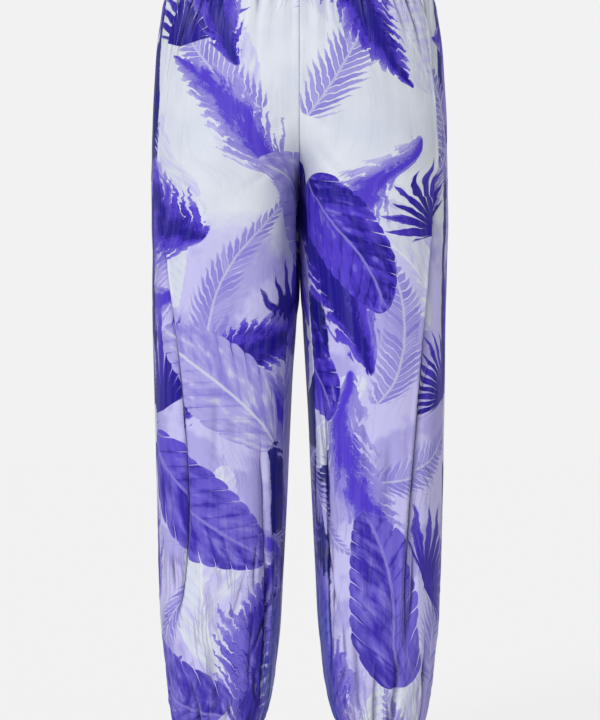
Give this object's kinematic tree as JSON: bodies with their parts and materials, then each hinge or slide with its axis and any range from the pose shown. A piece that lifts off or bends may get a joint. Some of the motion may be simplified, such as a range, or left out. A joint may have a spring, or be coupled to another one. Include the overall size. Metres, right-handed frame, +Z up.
{
  "type": "pajama pants",
  "caption": "Pull-on satin lounge trousers, filled out as worn, with full straight legs gathered into an elastic waistband and elastic ankle casings.",
  "frame": {"origin": "middle of the waist opening, at the waistband's mid height", "axes": "+Z up, the front faces -Y, the wearer's left is at +X"},
  "size_m": [0.3762, 0.279, 1.0412],
  "materials": {
    "satin_front": "printed satin, soft sheen",
    "satin_back": "printed satin, soft sheen",
    "satin_waistband": "ruched satin over elastic",
    "satin_cuff": "ruched satin over elastic"
  },
  "bodies": {
    "root": {"front_leg_left": "satin_front", "front_leg_right": "satin_front", "back_leg_left": "satin_back", "back_leg_right": "satin_back", "waistband_front": "satin_waistband", "waistband_back": "satin_waistband", "cuff_left": "satin_cuff", "cuff_right": "satin_cuff"}
  },
  "joints": []
}
